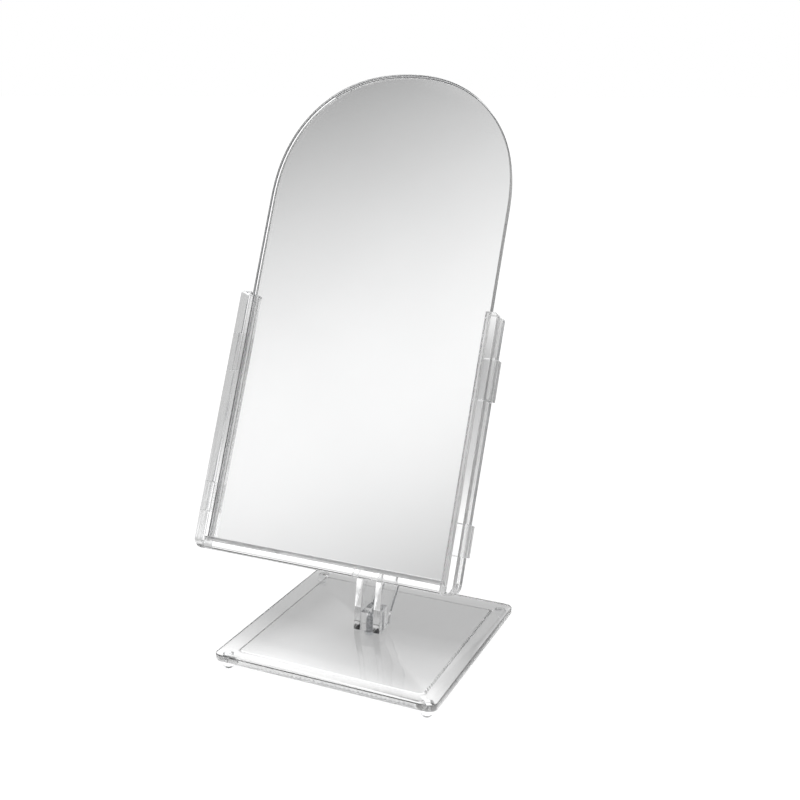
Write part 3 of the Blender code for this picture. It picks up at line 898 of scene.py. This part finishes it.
for tag, side in (("left", -1), ("right", 1)):
    cushion_u = sorted((side * 35.0, side * 75.0))
    new_object(
        "cushion_" + tag, head_box(cushion_u, (SLOT_BOTTOM + 0.1, PANEL_BOTTOM - 0.15), (-6.8, -0.7)), HEAD,
        "mirror_head", ["rail_cushion_" + tag], [CUSHION_SOFT], bevel=0.2,
    )

# Hinge lug: screwed plate with two filleted webs running into the eye.
LUG_HALF = 4.5
LUG_EYE = 10.5
plate_front = FRAME_BACK - 0.2
plate_back = plate_front - 4.0


def lug_mesh():
    """Side view profile of plate root, fillets and eye, thickened across; the screw plate is made on its own
    below.
    """
    root = plate_front - 3.6 - PIN_N
    profile = [(root, 12.8)]
    for degrees in (15.0, 30.0, 45.0):
        turn = math.radians(degrees)
        profile.append((root - 2.7 * math.sin(turn), 12.6 - 2.6 * (1.0 - math.cos(turn))))
    lower = [(a, -b) for a, b in reversed(profile)]
    eye = []
    for degrees in range(70, 291, 6):
        turn = math.radians(degrees)
        eye.append((LUG_EYE * math.cos(turn), LUG_EYE * math.sin(turn)))
    outline = profile + eye + lower
    return holed_plate(outline, [circle(0.0, 0.0, 3.1)], lambda a, b, t: (t, -a, b), -LUG_HALF, LUG_HALF)


web = new_object(
    "lug_web", lug_mesh(), HEAD, "mirror_head", ["hinge_lug"], [ARM_CLEAR], bevel=0.3
)
corners = []
for quarter in range(4):
    cu = 18.5 * (1 if quarter in (0, 3) else -1)
    cv = 9.5 * (1 if quarter in (0, 1) else -1)
    for i in range(9):
        turn = math.radians(90.0 * (quarter + i / 8))
        corners.append((cu + 3.5 * math.cos(turn), cv + 3.5 * math.sin(turn)))
screw_holes = [circle(su * 15.0, sv * 8.0, 1.7, 28) for su in (-1, 1) for sv in (-1, 1)]
new_object(
    "lug_plate",
    holed_plate(corners, screw_holes, lambda a, b, t: (a, PIN_N - t, b), plate_front, plate_back),
    HEAD, "mirror_head", [], [ARM_CLEAR], bevel=0.3,
)
SCREWS = {"upper_left": (-1, 1), "upper_right": (1, 1), "lower_left": (-1, -1), "lower_right": (1, -1)}
head_face = PIN_N - plate_back + 0.1
for tag, (su, sv) in SCREWS.items():
    spot = (su * 15.0, 0.0, sv * 8.0)
    screw = thread(spot, "Y", head_face, PIN_N - (FRAME_BACK + 2.8), 1.15, 1.48, 0.6)
    join(screw, sharpen(hex_socket_head(spot, "Y", head_face, 1.95, 2.8, 1.0, 1.0)))
    new_object(
        "screw_hinge_" + tag, screw, HEAD, "mirror_head", ["hinge_screw_" + tag], [STEEL]
    )


# ---------------------------------------------------------------- floor, light and camera


DEGREES = 180.0 / math.pi
FLOOR_REACH = 60.0
FLOOR_SEEN = 0.96
# Painted shadow: the floor that the camera sees is darker under the base.
FLOOR_SEEN_PAINTED_SHADOW = 0.93
WALL = 0.5
CEILING = 0.8
FLOOR = 0.5
EDGE = 4.0  # soft border of each patch, in degrees
# Zones of the floor, in metres from the middle of the base: (where it starts, length of its border).
FRONT_ZONE = (-0.1, 0.06)
BACK_ZONE = (0.07, 0.05)
RIGHT_ZONE = (0.0, 0.1)
FAR_ZONE = (1.0, 0.7)
# Where the painted light and shade under the base starts and fades.
PAINTED_UNDER_BASE_ZONE = (0.12, 0.03)
# Where the painted contact shadow seen by the camera starts and fades.
SHADE_ZONE = (0.098, 0.02)
# Their tones, painted light and shade of the floor: one level, or (place, level) from left to right or from
# front to back.
FRONT_TONE = 1.15
BACK_RIGHT_TONE = 0.46
SIDE_TONES = [(-0.4, 0.58), (-0.1, 0.6), (0.1, 0.86), (0.4, 0.9)]
BACK_TONES = [(0.1, 1.25), (0.25, 1.05), (0.45, 0.6), (0.8, 0.42), (1.6, 0.38)]
# Painted light and shade under the base, front to back: bright at the front edge, painted shadow under the
# middle and back.
PAINTED_UNDER_BASE_TONES = [(-0.14, 1.3), (-0.092, 1.5), (-0.074, 1.4), (-0.064, 1.1), (-0.035, 0.72)]
PAINTED_UNDER_BASE_TONES += [(0.01, 0.5), (0.14, 0.53)]
CEILING_HEIGHTS = (45.0, 95.0)
# Softboxes and flags: (start, end, low, high, brightness), in degrees. Bearings are counted from
# 100 degrees left of straight behind the mirror, heights from the horizon.
LIGHTS = [
    (2, 45, -4, 10, 0.8),  # left softbox
    (45, 102, -4, 25, 0.1),  # dark gap behind, under the back softbox
    (45, 102, 25, 45, 1.05),  # back softbox
    (102, 120, -4, 10, 0.9),  # edge of the back sweep
    (120, 175, -4, 10, 0.25),  # flag on the right, behind
    (175, 210, -4, 10, 1.2),  # right softbox
    (210, 250, -4, 45, 0.35),  # flag on the right, in front
    (250, 290, 10, 45, 0.7),  # front fill
    (290, 332, -4, 10, 0.9),  # foot of the front sweep
    (332, 360, 10, 45, 0.0),  # black flag on the left
    (250, 332, 45, 95, 1.7),  # overhead softbox in front
]
BACK_SWEEP = (45, 120, 1.25)
# The front sweep that the mirror shows: brightest along a slanting line, fading up and down.
SWEEP_AREA = (290, 332, 10, 45)
SWEEP_TURN = 308.0
SWEEP_HEIGHT = 26.8
SWEEP_SLANT = 0.73
SWEEP_PEAK = 1.03
SWEEP_FADE_UP = 22.5
SWEEP_FADE_DOWN = 18.0


class Graph:
    """Short hand for a node tree: math, ramps and mixes as one call each."""

    def __init__(self, tree):
        self.nodes = tree.nodes
        self.links = tree.links

    def math(self, operation, a, b=None, clamp=False):
        node = self.nodes.new("ShaderNodeMath")
        node.operation = operation
        node.use_clamp = clamp
        for index, value in enumerate((a, b)):
            if value is None:
                continue
            if isinstance(value, (int, float)):
                node.inputs[index].default_value = value
            else:
                self.links.new(value, node.inputs[index])
        return node.outputs["Value"]

    def mix(self, factor, first, second):
        node = self.nodes.new("ShaderNodeMix")
        node.data_type = "RGBA"
        self.links.new(factor, node.inputs["Factor"])
        for name, value in (("A", first), ("B", second)):
            if isinstance(value, (int, float)):
                node.inputs[name].default_value = (value, value, value, 1.0)
            else:
                self.links.new(value, node.inputs[name])
        return node.outputs["Result"]

    def ramp(self, value, low, high, stops):
        """Grey ramp over a range: stops are (value, grey)."""
        span = self.math("DIVIDE", self.math("SUBTRACT", value, low), high - low, clamp=True)
        node = self.nodes.new("ShaderNodeValToRGB")
        elements = node.color_ramp.elements
        while len(elements) < len(stops):
            elements.new(0.5)
        for element, (place, grey) in zip(elements, stops):
            element.position = (place - low) / (high - low)
            element.color = (grey, grey, grey, 1.0)
        self.links.new(span, node.inputs["Fac"])
        return node.outputs["Color"]

    def window(self, value, low, high, soft):
        """1 between low and high, falling to 0 over soft."""
        rise = self.math("ADD", self.math("DIVIDE", self.math("SUBTRACT", value, low), soft), 0.5, True)
        fall = self.math("ADD", self.math("DIVIDE", self.math("SUBTRACT", high, value), soft), 0.5, True)
        return self.math("MULTIPLY", rise, fall)

    def past(self, value, limit, over):
        """0 until the value passes the limit, then rising to 1 over a length."""
        return self.math("DIVIDE", self.math("SUBTRACT", value, limit), over, True)

    def turn(self, x, y):
        """Bearing in degrees, 0 to 360, counted from 100 degrees left of straight behind."""
        bearing = self.math("MULTIPLY", self.math("ARCTAN2", x, y), DEGREES)
        return self.math("MODULO", self.math("ADD", bearing, 460.0), 360.0)

    def patch(self, turn, elevation, start, end, low, high, soft=EDGE):
        """1 inside a patch of the studio wall, given by bearings and heights."""
        between_bearings = self.window(turn, start, end, soft)
        return self.math("MULTIPLY", between_bearings, self.window(elevation, low, high, soft))

    def seen(self, plain, studio):
        """What the camera meets is plain; what the clear sheets gather is the studio."""
        path = self.nodes.new("ShaderNodeLightPath")
        return self.mix(path.outputs["Is Camera Ray"], studio, plain)


# Pale paper floor that glows. The camera sees it plain, with a faint painted shadow under the base. The clear
# sheets gather painted light and shade from it instead, as from the floor of a grey studio: painted light in
# front, painted shade under the base and darker behind. Lengths in metres.
floor_data = bpy.data.meshes.new("floor")
corners = [(-FLOOR_REACH, -FLOOR_REACH), (FLOOR_REACH, -FLOOR_REACH)]
corners += [(FLOOR_REACH, FLOOR_REACH), (-FLOOR_REACH, FLOOR_REACH)]
floor_data.from_pydata([(x, y, 0.0) for x, y in corners], [], [(0, 1, 2, 3)])
floor = bpy.data.objects.new("floor", floor_data)
bpy.context.scene.collection.objects.link(floor)
floor_mat, nodes, links, shader = shader_material("floor_paper")
graph = Graph(floor_mat.node_tree)
mapping = object_mapping(nodes, links, (1.0, 1.0, 1.0))
grain = noise_node(nodes, links, mapping, 900.0, 2.0, 0.5)
tone = ramp_node(
    nodes, links, grain.outputs["Fac"], [(0.3, (0.15, 0.15, 0.15, 1.0)), (0.7, (0.17, 0.17, 0.17, 1.0))]
)
links.new(tone.outputs["Color"], shader.inputs["Base Color"])
shader.inputs["Roughness"].default_value = 0.9
shader.inputs["Specular IOR Level"].default_value = 0.0
split = nodes.new("ShaderNodeSeparateXYZ")
links.new(mapping.outputs["Vector"], split.inputs["Vector"])
at_x, at_y = split.outputs["X"], split.outputs["Y"]
spread = graph.math("MAXIMUM", graph.math("ABSOLUTE", at_x), graph.math("ABSOLUTE", at_y))
radius = graph.math("SQRT", graph.math("ADD", graph.math("POWER", at_x, 2.0), graph.math("POWER", at_y, 2.0)))
sides = graph.ramp(at_x, -0.4, 0.4, SIDE_TONES)
front = graph.past(FRONT_ZONE[0], at_y, FRONT_ZONE[1])
behind = graph.past(at_y, *BACK_ZONE)
back = graph.ramp(at_y, 0.0, 1.6, BACK_TONES)
rightward = graph.past(at_x, *RIGHT_ZONE)
# Painted light and shade of the floor around the base: bright in front, darker behind.
painted_floor_zones = graph.mix(behind, graph.mix(front, sides, FRONT_TONE), graph.mix(rightward, back, BACK_RIGHT_TONE))
floor_turn = graph.turn(at_x, at_y)
horizon_floor = graph.mix(graph.window(floor_turn, BACK_SWEEP[0], BACK_SWEEP[1], EDGE), FLOOR, BACK_SWEEP[2])
far = graph.mix(graph.past(radius, *FAR_ZONE), painted_floor_zones, horizon_floor)
# Painted shade under the base, brightening to painted light at its front edge.
painted_under_base = graph.ramp(at_y, -0.14, 0.14, PAINTED_UNDER_BASE_TONES)
under = graph.past(PAINTED_UNDER_BASE_ZONE[0], spread, PAINTED_UNDER_BASE_ZONE[1])
painted_floor_light = graph.mix(under, far, painted_under_base)
# Painted contact shadow: the floor that the camera sees darkens under the base's footprint.
painted_contact_shadow = graph.past(SHADE_ZONE[0], spread, SHADE_ZONE[1])
plain = graph.mix(painted_contact_shadow, FLOOR_SEEN, FLOOR_SEEN_PAINTED_SHADOW)
# The clear sheets see the painted floor light; the camera sees the plain floor with its painted contact
# shadow.
links.new(graph.seen(plain, painted_floor_light), shader.inputs["Emission Color"])
shader.inputs["Emission Strength"].default_value = 1.0
floor_data.materials.append(floor_mat)

world = bpy.data.worlds.new("studio")
bpy.context.scene.world = world
world.use_nodes = True
nodes, links = world.node_tree.nodes, world.node_tree.links
nodes.clear()
graph = Graph(world.node_tree)
coords = nodes.new("ShaderNodeTexCoord")
split = nodes.new("ShaderNodeSeparateXYZ")
links.new(coords.outputs["Generated"], split.inputs["Vector"])
dir_x, dir_y, dir_z = split.outputs["X"], split.outputs["Y"], split.outputs["Z"]
elevation = graph.math("MULTIPLY", graph.math("ARCSINE", dir_z), DEGREES)
turn = graph.turn(dir_x, dir_y)
studio = graph.mix(graph.window(elevation, *CEILING_HEIGHTS, EDGE), WALL, CEILING)
for start, end, low, high, level in LIGHTS:
    studio = graph.mix(graph.patch(turn, elevation, start, end, low, high), studio, level)
across = graph.math("MULTIPLY", graph.math("SUBTRACT", turn, SWEEP_TURN), SWEEP_SLANT)
offset = graph.math("ADD", graph.math("SUBTRACT", elevation, SWEEP_HEIGHT), across)
fade = graph.math(
    "MINIMUM", graph.math("DIVIDE", offset, SWEEP_FADE_UP), graph.math("DIVIDE", offset, SWEEP_FADE_DOWN)
)
falloff = graph.math("EXPONENT", graph.math("MULTIPLY", graph.math("MULTIPLY", fade, fade), -1.0))
sweep = graph.math("MULTIPLY", falloff, SWEEP_PEAK)
studio = graph.mix(graph.patch(turn, elevation, *SWEEP_AREA), studio, sweep)
background = nodes.new("ShaderNodeBackground")
background.inputs["Strength"].default_value = 1.0
links.new(graph.seen(1.0, studio), background.inputs["Color"])
output = nodes.new("ShaderNodeOutputWorld")
links.new(background.outputs["Background"], output.inputs["Surface"])

# Camera: 39 degrees across, a little right of the object and above it, with a small sideways shift.
camera_data = bpy.data.cameras.new("camera")
camera_data.sensor_width = 36.0
camera_data.lens = 51.151
camera_data.shift_x = 0.0699
camera_data.shift_y = -0.0103
camera_data.clip_start = 0.01
camera_data.clip_end = 200.0
camera = bpy.data.objects.new("camera", camera_data)
camera.location = (0.338801, -0.749944, 0.425816)
camera.rotation_euler = (math.radians(90.0 - 14.854), 0.0, math.radians(25.732))
bpy.context.scene.collection.objects.link(camera)
bpy.context.scene.camera = camera

scene = bpy.context.scene
scene.view_settings.view_transform = "Standard"
scene.view_settings.look = "None"
if hasattr(scene, "cycles"):
    scene.cycles.max_bounces = 24
    scene.cycles.transmission_bounces = 24
    scene.cycles.glossy_bounces = 12
    scene.cycles.transparent_max_bounces = 16
